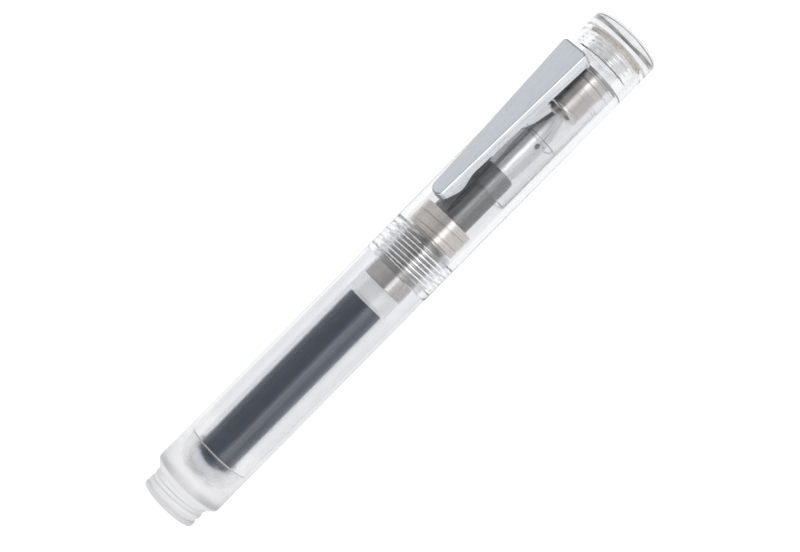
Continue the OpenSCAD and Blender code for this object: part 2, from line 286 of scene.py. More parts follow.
liner_clear = finish("liner_moulded", Base_Color=(0.97, 0.975, 0.985, 1), Transmission_Weight=1.0,
                     IOR=ACRYLIC_IOR)
wander(liner_clear, "Roughness", grain(liner_clear, CLOUDS), 0.08, 0.14)
relief(liner_clear, grain(liner_clear, (260, 420, 420), 1.0), 0.05, 0.00002)

cartridge_clear = finish("cartridge_moulded", Base_Color=(0.8, 0.87, 0.95, 1), Transmission_Weight=1.0,
                         IOR=1.5, Specular_Tint=(0.6, 0.78, 1.0, 1))
wander(cartridge_clear, "Roughness", grain(cartridge_clear, CLOUDS), 0.08, 0.14)

# where ink wets the cartridge's inner wall there is no air, so nothing shines there
wetted = finish("cartridge_wetted", Base_Color=(0.86, 0.89, 0.93, 1), Transmission_Weight=1.0, IOR=1.0)
wander(wetted, "Roughness", grain(wetted, CLOUDS), 0.02, 0.05)

amber = finish("seal_amber", Base_Color=(1.0, 0.94, 0.76, 1), Transmission_Weight=0.8, IOR=1.42)
wander(amber, "Roughness", grain(amber, (900, 900, 900)), 0.2, 0.35)

# %% [markdown]
# The metals are mirrors with character: nickel is a warm grey with lathe rings, the clip is chromed sheet
# with a satin face and bright folds, the nib is steel that was buffed lengthwise.

# %% Metals
nickel = finish("nickel_turned", Metallic=1.0)
tint(nickel, grain(nickel, RINGS), (0.56, 0.53, 0.495), (0.66, 0.625, 0.585))
wander(nickel, "Roughness", grain(nickel, RINGS), 0.1, 0.2)
relief(nickel, grain(nickel, RINGS), 0.15, 0.00001)

clip_satin = finish("clip_satin", Metallic=1.0)
tint(clip_satin, grain(clip_satin, (1200, 1800, 1800)), (0.585, 0.62, 0.665), (0.62, 0.655, 0.7))
wander(clip_satin, "Roughness", grain(clip_satin, (300, 9000, 9000)), 0.24, 0.34)
relief(clip_satin, grain(clip_satin, (900, 900, 900), 1.0), 0.03, 0.00001)

clip_bright = finish("clip_bright", Metallic=1.0)
tint(clip_bright, grain(clip_bright, CLOUDS), (0.6, 0.63, 0.66), (0.68, 0.7, 0.73))
wander(clip_bright, "Roughness", grain(clip_bright, (300, 6000, 6000)), 0.05, 0.12)

steel = finish("nib_steel", Metallic=1.0)
tint(steel, grain(steel, (200, 5000, 5000)), (0.6, 0.6, 0.6), (0.7, 0.7, 0.695))
wander(steel, "Roughness", grain(steel, (200, 7000, 7000)), 0.12, 0.24)
relief(steel, grain(steel, (200, 7000, 7000)), 0.12, 0.00001)

spring_steel = finish("spring_steel", Metallic=1.0)
tint(spring_steel, grain(spring_steel, CLOUDS), (0.3, 0.3, 0.31), (0.42, 0.42, 0.43))
wander(spring_steel, "Roughness", grain(spring_steel, (4000, 4000, 4000)), 0.25, 0.4)

tip_alloy = finish("tip_alloy", Metallic=1.0)
tint(tip_alloy, grain(tip_alloy, (6000, 6000, 6000)), (0.62, 0.62, 0.63), (0.72, 0.72, 0.72))
wander(tip_alloy, "Roughness", grain(tip_alloy, (9000, 9000, 9000)), 0.15, 0.3)

# %% [markdown]
# The grip is glossy black moulding, the feed and its collar are the same plastic with a matt skin, and the
# ink is a very dark blue-black, with lighter blue lengthwise streaks in its colour that are painted
# reflections.

# %% Dark finishes
black_gloss = finish("grip_black", IOR=1.9, Specular_IOR_Level=0.7)
tint(black_gloss, grain(black_gloss, CLOUDS), (0.012, 0.015, 0.022), (0.02, 0.024, 0.034))
wander(black_gloss, "Roughness", grain(black_gloss, (1500, 1500, 1500)), 0.1, 0.18)

black_matt = finish("feed_black")
tint(black_matt, grain(black_matt, CLOUDS), (0.014, 0.014, 0.014), (0.024, 0.024, 0.024))
wander(black_matt, "Roughness", grain(black_matt, (3000, 3000, 3000)), 0.4, 0.55)

ink = finish("ink_blue_black", Specular_IOR_Level=0.0)
# painted reflection: the ink's dark blue-black is its own colour, and the lighter blue streaks along it
# stand for long reflections
tint(ink, grain(ink, (6, 1000, 1000), 2.0), (0.02, 0.031, 0.052), (0.15, 0.2, 0.28))
wander(ink, "Roughness", grain(ink, CLOUDS), 0.15, 0.3)

ball_plastic = finish("ball_plastic", Transmission_Weight=0.4)
tint(ball_plastic, grain(ball_plastic, CLOUDS), (0.6, 0.62, 0.66), (0.72, 0.74, 0.78))
wander(ball_plastic, "Roughness", grain(ball_plastic, (2500, 2500, 2500)), 0.2, 0.3)
print("finishes:", len(bpy.data.materials))

# %% [markdown]
# A lathe is the way that almost every piece of a pen is made, so one function turns an outline into a
# closed solid. A Screw modifier could do it too, but it leaves the two poles open. Corners carry their own
# softness in millimetres: no real edge is a knife edge, and the small rounds are what catch the light.

# %% The lathe
SIDES = 144                     # faces round a turned piece
CORNER_STEPS = 5                # faces across a rounded corner
SHARP = math.radians(32)        # edges that turn more than this stay crisp


def soften(outline):
    """Replaces each corner (x, r, softness) with a short curve."""
    points = []
    for i, corner in enumerate(outline):
        here = Vector(corner[:2])
        soft = corner[2] if len(corner) > 2 else 0
        if not soft:
            points.append(here)
            continue
        before = Vector(outline[i - 1][:2]) - here
        after = Vector(outline[(i + 1) % len(outline)][:2]) - here
        a = here + before.normalized() * min(soft, before.length / 2)
        b = here + after.normalized() * min(soft, after.length / 2)
        for step in range(CORNER_STEPS + 1):
            t = step / CORNER_STEPS
            points.append((1 - t) ** 2 * a + 2 * t * (1 - t) * here + t * t * b)
    return points


def run(x0, x1, r, step):
    """Points along a straight stretch, close enough together for a thread to be cut in it."""
    count = max(2, round(abs(x1 - x0) / step))
    return [(x0 + (x1 - x0) * i / count, r) for i in range(count + 1)]


def crisp(mesh):
    """Smooth shading, with the real edges kept crisp."""
    mesh.shade_smooth()
    mesh.set_sharp_from_angle(angle=SHARP)


def add_piece(name, mesh, *finishes):
    piece = bpy.data.objects.new(name, mesh)
    bpy.context.scene.collection.objects.link(piece)
    for each in finishes:
        mesh.materials.append(each)
    return piece


def turned(name, outline, *finishes, sides=SIDES):
    """A closed solid of revolution about the pen's axis."""
    work = bmesh.new()
    rings = []
    for x, r in soften(outline):
        place = TAIL + x * MM
        if r < 1e-6:
            rings.append([work.verts.new((place, 0, AXIS_Z))])
            continue
        around = [2 * math.pi * k / sides for k in range(sides)]
        rings.append([work.verts.new((place, r * MM * math.cos(a), AXIS_Z + r * MM * math.sin(a)))
                      for a in around])
    for one, two in zip(rings, rings[1:] + rings[:1]):
        if len(one) == 1 and len(two) == 1:
            continue
        for k in range(sides):
            n = (k + 1) % sides
            corners = [one[0]] if len(one) == 1 else [one[k], one[n]]
            corners += [two[0]] if len(two) == 1 else [two[n], two[k]]
            work.faces.new(corners)
    bmesh.ops.recalc_face_normals(work, faces=work.faces)
    mesh = bpy.data.meshes.new(name)
    work.to_mesh(mesh)
    work.free()
    crisp(mesh)
    return add_piece(name, mesh, *finishes)


# %% [markdown]
# A thread is a groove that follows a helix. Cutting it with a boolean is slow and leaves slivers, and a
# separate coil laid on a clear tube would show its own inside. This Geometry Nodes tool moves the turned
# surface itself: each point works out its place along the helix from how far along the pen it is and its
# angle round it, and sinks by the groove's depth. The same tool cuts inside threads when the depth is
# negative, and a lead-in fades both ends, as a cutter does when it runs out.

# %% The thread cutter
def thread_cutter():
    tool = bpy.data.node_groups.new("thread_cutter", "GeometryNodeTree")
    tool.is_modifier = True
    face = tool.interface
    face.new_socket("Geometry", in_out="INPUT", socket_type="NodeSocketGeometry")
    for name in ("Start", "End", "Pitch", "Depth", "Inner limit", "Outer limit", "Lead in",
                 "Axis height", "Flank top", "Flank foot"):
        face.new_socket(name, in_out="INPUT", socket_type="NodeSocketFloat")
    face.new_socket("Finish", in_out="INPUT", socket_type="NodeSocketMaterial")
    face.new_socket("Geometry", in_out="OUTPUT", socket_type="NodeSocketGeometry")
    nodes, links = tool.nodes, tool.links
    given = nodes.new("NodeGroupInput")

    def math_node(kind, *values):
        made = nodes.new("ShaderNodeMath")
        made.operation = kind
        for socket, value in zip(made.inputs, values):
            if isinstance(value, (int, float)):
                socket.default_value = value
            else:
                links.new(value, socket)
        return made.outputs[0]

    def smooth_step(value, low, high):
        made = nodes.new("ShaderNodeMapRange")
        made.interpolation_type = "SMOOTHSTEP"
        for socket, source in (("Value", value), ("From Min", low), ("From Max", high)):
            if isinstance(source, (int, float)):
                made.inputs[socket].default_value = source
            else:
                links.new(source, made.inputs[socket])
        return made.outputs["Result"]

    place = nodes.new("GeometryNodeInputPosition")
    split = nodes.new("ShaderNodeSeparateXYZ")
    links.new(place.outputs[0], split.inputs[0])
    x, y = split.outputs["X"], split.outputs["Y"]
    z = math_node("SUBTRACT", split.outputs["Z"], given.outputs["Axis height"])
    radius = math_node("SQRT", math_node("ADD", math_node("MULTIPLY", y, y), math_node("MULTIPLY", z, z)))
    turns = math_node("DIVIDE", math_node("ARCTAN2", z, y), 2 * math.pi)
    along = math_node("DIVIDE", math_node("SUBTRACT", x, given.outputs["Start"]), given.outputs["Pitch"])
    phase = math_node("FRACT", math_node("SUBTRACT", along, turns))
    from_crest = math_node("ABSOLUTE", math_node("SUBTRACT", math_node("MULTIPLY", phase, 2), 1))
    groove = smooth_step(from_crest, given.outputs["Flank top"], given.outputs["Flank foot"])
    lead = given.outputs["Lead in"]
    opens = smooth_step(x, given.outputs["Start"], math_node("ADD", given.outputs["Start"], lead))
    stays = smooth_step(x, given.outputs["End"], math_node("SUBTRACT", given.outputs["End"], lead))
    sink = math_node("MULTIPLY", math_node("MULTIPLY", groove, opens),
                     math_node("MULTIPLY", stays, given.outputs["Depth"]))
    share = math_node("DIVIDE", sink, math_node("MAXIMUM", radius, 1e-6))
    move = nodes.new("ShaderNodeCombineXYZ")
    links.new(math_node("MULTIPLY", math_node("MULTIPLY", y, share), -1), move.inputs["Y"])
    links.new(math_node("MULTIPLY", math_node("MULTIPLY", z, share), -1), move.inputs["Z"])
    inside = math_node("GREATER_THAN", radius, given.outputs["Inner limit"])
    outside = math_node("LESS_THAN", radius, given.outputs["Outer limit"])
    cut = nodes.new("GeometryNodeSetPosition")
    links.new(given.outputs["Geometry"], cut.inputs["Geometry"])
    links.new(math_node("MULTIPLY", inside, outside), cut.inputs["Selection"])
    links.new(move.outputs[0], cut.inputs["Offset"])
    real = nodes.new("GeometryNodeRealizeInstances")
    paint = nodes.new("GeometryNodeSetMaterial")
    done = nodes.new("NodeGroupOutput")
    links.new(cut.outputs[0], real.inputs[0])
    links.new(real.outputs[0], paint.inputs["Geometry"])
    links.new(given.outputs["Finish"], paint.inputs["Material"])
    links.new(paint.outputs[0], done.inputs[0])
    return tool


def set_inputs(modifier, **values):
    """Sets a Geometry Nodes modifier's inputs by the identifiers of their sockets."""
    for item in modifier.node_group.interface.items_tree:
        key = item.name.replace(" ", "_")
        if item.in_out == "INPUT" and key in values:
            modifier[item.identifier] = values[key]


def settle(piece):
    """Makes what the modifiers show the piece's own plain mesh."""
    graph = bpy.context.evaluated_depsgraph_get()
    mesh = bpy.data.meshes.new_from_object(piece.evaluated_get(graph))
    piece.modifiers.clear()
    piece.data = mesh
    crisp(mesh)


THREAD_CUTTER = thread_cutter()


def cut_threads(piece, finish_used, threads, flanks=(0.32, 0.72)):
    """threads: (start, end, pitch, depth, inner radius, outer radius), in millimetres from the tail.
    flanks: where the groove's side starts and ends, from 0 at the crest to 1 at the middle of the groove."""
    for start, end, pitch, depth, inner, outer in threads:
        tool = piece.modifiers.new("thread", "NODES")
        tool.node_group = THREAD_CUTTER
        set_inputs(tool, Start=TAIL + start * MM, End=TAIL + end * MM, Pitch=pitch * MM, Depth=depth * MM,
                   Inner_limit=inner * MM, Outer_limit=outer * MM, Lead_in=0.35 * pitch * MM,
                   Axis_height=AXIS_Z, Flank_top=flanks[0], Flank_foot=flanks[1], Finish=finish_used)
    settle(piece)
    print(piece.name, "threads:", len(threads), "faces:", len(piece.data.polygons))


def stands_for(piece, body, slot, *nodes):
    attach(piece, body)
    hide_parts(*nodes)


# %% [markdown]
# ## The barrel
# One thick clear tube. Its tail steps down to a threaded spigot that the cap screws onto when it is posted,
# its blind bore is frosted, with a coarser bottom and a smoother mouth, and its front neck carries the cap's
# thread.

# %% Barrel
THREAD_R = 5.2
THREAD_PITCH = 1.55
THREAD_DEPTH = 0.42
THREAD_STEP = 0.055             # spacing of the rings that a thread is cut in
BORE_R = 3.95
POCKET_R = 3.7
POCKET_END_R = 1.4
BORE_START = 11.7
FROST_END = 46.4
POCKET_DEPTH = 4.8
REAMED_END = FROST_END + 3.3    # from here to its mouth the bore is polished
STEP_HIGHLIGHT_WIDTH = 0.2                # painted highlight: a white ring painted where the bore steps down, in place of the light its small step catches
SHOULDER = LIP - 0.05
THREAD_START = 54.5
THREAD_END = 60.15

pocket = [(BORE_START - POCKET_DEPTH * math.sin(a),
           POCKET_END_R + (POCKET_R - POCKET_END_R) * math.cos(a))
          for a in (math.pi / 2 * k / 16 for k in range(17))]
barrel = turned("barrel_clear", [
    (0, 0), (0, THREAD_R, 0.3), *run(0.35, 3.5, THREAD_R, THREAD_STEP), (3.6, THREAD_R, 0.05),
    (4.8, PEN_R, 0.3), (SATIN_END, PEN_R), (LIP - 0.4, PEN_R), (SHOULDER, PEN_R, 0.12),
    (SHOULDER, 5.0, 0.15), (53.9, 5.0, 0.2),
    (54.15, THREAD_R, 0.05), *run(54.3, 60.2, THREAD_R, THREAD_STEP), (NECK_END, 4.95, 0.12),
    (NECK_END, BORE_R, 0.1), (REAMED_END, BORE_R), (FROST_END, BORE_R),
    (BORE_START + STEP_HIGHLIGHT_WIDTH, BORE_R - 0.02), (BORE_START, BORE_R - 0.06), *pocket,
    (BORE_START - POCKET_DEPTH, 0)], barrel_clear)
cut_threads(barrel, barrel_clear, [(0.5, 3.45, THREAD_PITCH, 0.2, 4.5, 5.4)])
cut_threads(barrel, barrel_clear, [(THREAD_START, THREAD_END, THREAD_PITCH, THREAD_DEPTH, 4.5, 5.4)],
            flanks=(0.2, 0.7))


def repaint(piece, slot, x0, x1, r0, r1):
    """Gives the faces of a turned piece between two places and two radii another of its finishes."""
    count = 0
    for face in piece.data.polygons:
        x = (face.center.x - TAIL) / MM
        r = math.hypot(face.center.y, face.center.z - AXIS_Z) / MM
        if x0 < x < x1 and r0 < r < r1:
            face.material_index = slot
            count += 1
    print(piece.name, "repainted faces:", count)


for each in (frost, satin, bore_step_painted_highlight, drilled):
    barrel.data.materials.append(each)
FROSTED, SATIN, PAINTED_HIGHLIGHT, DRILLED = 1, 2, 3, 4    # the barrel's finishes after the clear one, in that order
POCKET_START = BORE_START - POCKET_DEPTH
repaint(barrel, FROSTED, POCKET_START - 0.1, FROST_END, 0, BORE_R + 0.01)
repaint(barrel, SATIN, FROST_END, REAMED_END, 0, BORE_R + 0.01)
repaint(barrel, SATIN, -0.1, SATIN_END, POCKET_R + 0.3, PEN_R + 0.01)
repaint(barrel, SATIN, -0.1, 0.1, 0, THREAD_R)
repaint(barrel, DRILLED, POCKET_START - 0.1, BORE_START, 0, POCKET_R + 0.3)
# paints the highlight ring on the bore's small step
repaint(barrel, PAINTED_HIGHLIGHT, BORE_START, BORE_START + STEP_HIGHLIGHT_WIDTH, BORE_R - 0.1, BORE_R + 0.01)
stands_for(barrel, "barrel", "clear_acrylic", "barrel")

# %% [markdown]
# ## The cartridge
# A thin moulded tube, domed at the tail, full of ink up to its shoulder, with a narrow neck that the grip's
# nipple pierces. The ink is its own body, a hair smaller than the hollow, so that two surfaces never lie in
# the same place and flicker.

# %% Cartridge
CARTRIDGE_R = radius_of("cartridge_body")
CARTRIDGE_WALL = 0.35
CARTRIDGE_TAIL = start_of("cartridge_body")
CARTRIDGE_END = end_of("cartridge_body")
CARTRIDGE_SHOULDER = 46.0
HAIR = 0.02


def dome(x, reach, r, steps=14):
    """The rounded tail of a tube that is straight from x on: from its pole to its rim."""
    return [(x - reach * math.cos(a), r * math.sin(a))
            for a in (math.pi / 2 * k / steps for k in range(steps + 1))]


tail_reach = BORE_START - CARTRIDGE_TAIL
inner_r = CARTRIDGE_R - CARTRIDGE_WALL
cartridge = turned("cartridge_shell", [
    *dome(BORE_START, tail_reach, CARTRIDGE_R), (CARTRIDGE_SHOULDER, CARTRIDGE_R, 0.12),
    (CARTRIDGE_SHOULDER + 0.6, 2.55, 0.15), (CARTRIDGE_END, 2.55, 0.2), (CARTRIDGE_END, 1.42, 0.1),
    (48, 1.42, 0.1), (48, 2.2, 0.1), (CARTRIDGE_SHOULDER, 2.2, 0.1), (CARTRIDGE_SHOULDER, inner_r, 0.2),
    *reversed(dome(BORE_START, tail_reach - CARTRIDGE_WALL, inner_r))], cartridge_clear, wetted, neck_painted_glow)
WETTED, NECK_GLOW = 1, 2            # the cartridge's finishes after the clear one
repaint(cartridge, WETTED, 0, CARTRIDGE_SHOULDER, 0, inner_r + 0.01)
# the neck gets its white finish with the painted glow
repaint(cartridge, NECK_GLOW, CARTRIDGE_SHOULDER + 0.1, CARTRIDGE_END + 0.1, 0, CARTRIDGE_R + 0.01)
stands_for(cartridge, "cartridge", "cartridge_plastic", "cartridge_body")
ink_fill = turned("ink_fill", [
    *dome(BORE_START, tail_reach - CARTRIDGE_WALL - HAIR, inner_r - HAIR),
    (CARTRIDGE_SHOULDER - HAIR, inner_r - HAIR, 0.2), (CARTRIDGE_SHOULDER - HAIR, 0)], ink)
stands_for(ink_fill, "cartridge", "ink", "cartridge_ink")

# %% [markdown]
# ## Connector, grip and collar
# The connector is the metal heart of the pen: its fine-threaded shank screws into the barrel and its wide
# ring stops the cap. The grip is pushed into its front, and the collar with the nipple into the grip.

# %% Connector and grip
RING_START = 60.9
RING_END = end_of("section_connector")
RING_R = radius_of("section_connector")
SHANK_R = 3.85
GRIP_END = end_of("grip_section")
GRIP_R = radius_of("grip_section")

connector = turned("connector_nickel", [
    (start_of("section_connector"), 2.9, 0.1), (start_of("section_connector"), SHANK_R, 0.15),
    *run(52.6, 60.4, SHANK_R, 0.045), (RING_START, SHANK_R - 0.1), (RING_START, RING_R, 0.12),
    *run(61.2, 65.2, RING_R, 0.03), (RING_END, RING_R, 0.12), (RING_END, 3.6, 0.05), (RING_END - 0.5, 3.3),
    (52, 3.3), (52, 2.9, 0.1)], nickel)
cut_threads(connector, nickel, [(52.8, 60.3, 0.7, 0.22, 3.5, 4.1)])
cut_threads(connector, nickel, [(61.3, 65.1, 1.9, 0.16, 4.6, 4.9)], flanks=(0.9, 0.95))
stands_for(connector, "writing_unit", "nickel", "section_connector")

grip = turned("grip_black", [
    (55, 2.6), (55, 3.28, 0.1), (RING_END - 0.45, 3.28), (RING_END - 0.4, GRIP_R - 0.04),
    (GRIP_END - 0.9, GRIP_R, 0.4), (GRIP_END, GRIP_R - 0.12, 0.22), (GRIP_END, 3.12, 0.05), (66, 3.12),
    (66, 2.6)], black_gloss)
stands_for(grip, "writing_unit", "black_gloss", "grip_section")

collar = turned("nib_collar", [
    (start_of("nib_housing"), 0.7), (start_of("nib_housing"), 1.3, 0.3), (58.5, 1.3, 0.2), (58.5, 2.58, 0.1),
    (66, 2.58), (66.02, 3.1), (GRIP_END - 0.12, 3.1, 0.1), (GRIP_END - 0.12, 2.82, 0.05), (68, 2.82),
    (68, 2.54), (64, 2.54), (64, 0.7)], black_matt)
stands_for(collar, "writing_unit", "black_matt", "nib_housing")

# %% [markdown]
# ## The cap
# The cap tube is threaded inside its mouth, and its top is stopped down to a threaded hole for the finial.
# The slot for the clip's tongue is sawn through the wall with a boolean: one straight cut, so nothing is
# gained by building it by hand.

# %% Cap tube
CAP_BORE_R = 5.3
CHAMBER_R = 3.6
SEAT_R = 5.5
STUD_PITCH = 0.75
CLIP_END = end_of("clip_ring")
SLOT_START, SLOT_END, SLOT_HALF = CLIP_END - 0.65, CLIP_END + 0.15, 1.45

cap = turned("cap_clear", [
    (LIP, CAP_BORE_R + 0.1, 0.1), (LIP, PEN_R, 0.12), (CAP_END, PEN_R, 0.12), (CAP_END, SEAT_R, 0.05),
    (CAP_END - 0.9, SEAT_R, 0.05), (CAP_END - 0.9, CHAMBER_R, 0.05),
    *run(CAP_END - 1.0, 100.2, CHAMBER_R, 0.04), (CLIP_END, CHAMBER_R, 0.25), (CLIP_END, CAP_BORE_R, 0.25),
    *run(60.6, 53.9, CAP_BORE_R, THREAD_STEP)], acrylic)
cut_threads(cap, acrylic, [(THREAD_START - 0.8, THREAD_END + 0.2, THREAD_PITCH, -0.36, 5.2, 5.4)])
cut_threads(cap, acrylic, [(100.3, CAP_END - 1.0, STUD_PITCH, -0.25, 3.5, 3.7)])


def saw_slot(piece, low, high):
    """Cuts a straight-sided slot through a piece, between two corners in metres."""
    work = bmesh.new()
    bmesh.ops.create_cube(work, size=1)
    for vert in work.verts:
        vert.co = Vector([low[i] if vert.co[i] < 0 else high[i] for i in range(3)])
    mesh = bpy.data.meshes.new("saw")
    work.to_mesh(mesh)
    work.free()
    saw = add_piece("saw", mesh)
    cut = piece.modifiers.new("slot", "BOOLEAN")
    cut.operation = "DIFFERENCE"
    cut.solver = "EXACT"
    cut.object = saw
    settle(piece)
    bpy.data.objects.remove(saw)


saw_slot(cap, (TAIL + SLOT_START * MM, -SLOT_HALF * MM, AXIS_Z + 3 * MM),
         (TAIL + SLOT_END * MM, SLOT_HALF * MM, AXIS_Z + 9 * MM))
cap.data.materials.append(frost)
repaint(cap, 1, CLIP_END - 0.3, CLIP_END + 0.3, CHAMBER_R - 0.1, CAP_BORE_R + 0.05)
print("cap faces after the slot:", len(cap.data.polygons))
stands_for(cap, "cap", "clear_acrylic", "cap_tube")

# %% [markdown]
# The liner is a thinner moulded tube inside the cap. It closes round the nib so that the ink doesn't dry,
# and its floor holds the metal bush.

# %% Liner, bush and finial
LINER_START, LINER_END = start_of("inner_cap"), end_of("inner_cap")
BUSH_START = start_of("cap_bush")
BUSH_R = radius_of("cap_bush")
BUSH_THREAD_END = 94.7
BUSH_BORE_R = 2.6

liner = turned("liner_clear", [
    (LINER_START, 4.45, 0.15), (LINER_START, 5.15, 0.25), (LINER_END - 4, 5.15, 0.1),
    (LINER_END - 4, CAP_BORE_R - HAIR, 0.1), (LINER_END, CAP_BORE_R - HAIR, 0.1),
    (LINER_END, BUSH_R + HAIR), (LINER_END - 1.3, BUSH_R + HAIR, 0.05), (LINER_END - 1.3, 4.1, 0.3),
    (84.7, 4.1, 0.15), (84.7, 4.45, 0.1)], liner_clear)
stands_for(liner, "cap", "clear_liner", "inner_cap")

bush = turned("bush_nickel", [
    (BUSH_START, BUSH_BORE_R, 0.15), (BUSH_START, BUSH_R, 0.2),
    *run(BUSH_START + 0.3, BUSH_THREAD_END, BUSH_R, 0.035),
    (BUSH_THREAD_END + 0.1, BUSH_R - 0.22, 0.03), (BUSH_THREAD_END + 0.35, BUSH_R - 0.22, 0.03),
    (BUSH_THREAD_END + 0.4, BUSH_R, 0.08), (LINER_END - HAIR, BUSH_R, 0.15), (LINER_END - HAIR, 0),
    (LINER_END - 1.4, 0), (LINER_END - 1.4, BUSH_BORE_R, 0.1)], nickel)
cut_threads(bush, nickel, [(BUSH_START + 0.4, BUSH_THREAD_END, 0.62, 0.2, 3.4, 3.9)])
stands_for(bush, "cap", "nickel", "cap_bush")

STUD_START = start_of("finial")
STUD_R = 3.48
finial = turned("finial_clear", [
    (STUD_START, 0), (STUD_START, STUD_R, 0.25), *run(STUD_START + 0.3, CAP_END - 0.6, STUD_R, 0.04),
    (CAP_END + 0.05, STUD_R - 0.1, 0.1), (CAP_END + 0.05, PEN_R, 0.12), (PEN_END - 0.25, PEN_R, 0.8),
    (PEN_END - 0.05, 2.5, 1.0), (PEN_END, 0)], acrylic)
cut_threads(finial, acrylic, [(STUD_START + 0.2, CAP_END - 0.5, STUD_PITCH, 0.32, 3.0, 3.6)],
            flanks=(0.4, 0.65))
finial.data.materials.append(satin)
repaint(finial, 1, CAP_END, PEN_END + 0.1, 0, PEN_R + 0.1)
stands_for(finial, "finial", "clear_acrylic", "finial")

RING_SECTION = 0.36
ring_centre = (CAP_END - 0.4, 5.0)
seal = turned("seal_ring", [
    (ring_centre[0] + RING_SECTION * math.cos(a), ring_centre[1] + RING_SECTION * math.sin(a))
    for a in (2 * math.pi * k / 24 for k in range(24))], amber)
stands_for(seal, "finial", "amber_rubber", "finial_o_ring")

# %% [markdown]
# ## Nib
# The nib is a leaf cut from thin sheet and rolled. It could be a cone cut with booleans, but its slit and
# breather hole would leave ragged edges. Here each half is a grid that follows the leaf's own edges: one
# side along the centre line, round the hole and down the slit, the other along the outside of the leaf.
# Solidify then gives the sheet its thickness.

# %% Nib
NIB_TURN = math.radians(62)     # the nib faces this far round from straight up
NIB_END = end_of("nib")
NIB_TAIL = start_of("nib")
BREATHER = 83.6
BREATHER_R = 0.5
SLIT_HALF = 0.05
NIB_SHEET = 0.26
NIB_ROLL = [(NIB_TAIL, 2.78), (GRIP_END - 0.5, 2.78), (80.2, 3.18), (84.8, 3.18), (87.2, 2.82), (90.2, 2.02),
            (NIB_END, 0.98)]
NIB_EDGE = [(NIB_TAIL, 2.7), (GRIP_END, 2.75), (79.8, 3.08), (82.8, 3.08), (84.6, 2.86), (86, 2.3),
            (88, 1.42), (90.2, 0.84), (NIB_END - 0.5, 0.34), (NIB_END, 0.26)]


def follow(table, x):
    """A value between the rows of a table of (x, value), on straight lines."""
    for (x0, v0), (x1, v1) in zip(table, table[1:]):
        if x <= x1:
            t = min(max((x - x0) / (x1 - x0), 0), 1)
            return v0 + (v1 - v0) * t
    return table[-1][1]


def eased(table, x, width=0.9):
    """The table's value, averaged over a short stretch on both sides, so that the curve has no kinks."""
    return sum(follow(table, x + width * k / 4) for k in range(-4, 5)) / 9


def nib_stations():
    """Places along the nib, close together round the breather hole."""
    coarse = [NIB_TAIL + (BREATHER - 1 - NIB_TAIL) * k / 30 for k in range(30)]
    fine = [BREATHER - BREATHER_R * math.cos(math.pi * k / 16) for k in range(17)]
    before = [BREATHER - 1 + (1 - BREATHER_R) * k / 6 for k in range(6)]
    after = [BREATHER + BREATHER_R + (NIB_END - BREATHER - BREATHER_R) * k / 44 for k in range(1, 45)]
    return coarse + before + fine + after


def nib_half(work, side, columns=14):
    rows = []
    for x in nib_stations():
        r = eased(NIB_ROLL, x)
        outer = math.asin(min(eased(NIB_EDGE, x) / r, 0.999))
        off = x - BREATHER
        inner = math.sqrt(max(BREATHER_R ** 2 - off ** 2, 0)) if abs(off) <= BREATHER_R else 0
        if off > 0:
            inner = max(inner, SLIT_HALF)
        start = math.asin(inner / r)
        row = []
        for k in range(columns + 1):
            t = k / columns
            a = NIB_TURN + side * (start + (outer - start) * t)
            row.append(work.verts.new((TAIL + x * MM, -r * MM * math.sin(a), AXIS_Z + r * MM * math.cos(a))))
        rows.append(row)
    for one, two in zip(rows, rows[1:]):
        for k in range(columns):
            corners = [one[k], one[k + 1], two[k + 1], two[k]]
            work.faces.new(corners if side < 0 else corners[::-1])


def build_nib():
    work = bmesh.new()
    nib_half(work, 1)
    nib_half(work, -1)
    bmesh.ops.remove_doubles(work, verts=work.verts, dist=2e-6)
    bmesh.ops.recalc_face_normals(work, faces=work.faces)
    out = sum((f.normal.dot(Vector((0, f.calc_center_median().y, f.calc_center_median().z - AXIS_Z)))
               for f in work.faces))
    if out < 0:
        bmesh.ops.reverse_faces(work, faces=work.faces)
    mesh = bpy.data.meshes.new("nib_leaf")
    work.to_mesh(mesh)
    work.free()
    leaf = add_piece("nib_leaf", mesh, steel)
    sheet = leaf.modifiers.new("sheet", "SOLIDIFY")
    sheet.thickness = NIB_SHEET * MM
    sheet.offset = -1
    edge = leaf.modifiers.new("edge", "BEVEL")
    edge.width = 0.03 * MM
    edge.segments = 2
    edge.limit_method = "ANGLE"
    edge.angle_limit = math.radians(50)
    settle(leaf)
    return leaf


nib = build_nib()
print("nib faces:", len(nib.data.polygons))
stands_for(nib, "writing_unit", "nib_steel", "nib")

# %% [markdown]
# ## Feed
# The feed is a black rod under the nib, whose air side is cut into thin fins that hold spare ink. The rod is
# turned, and a Geometry Nodes row puts one fin at every step and makes them one mesh.

# %% Feed
FEED_END = end_of("feed")
FEED_START = start_of("feed")
FIN_FIRST, FIN_PITCH, FIN_COUNT = 78.0, 0.62, 10
FIN_THICK = 0.3
CORE_R = 2.15


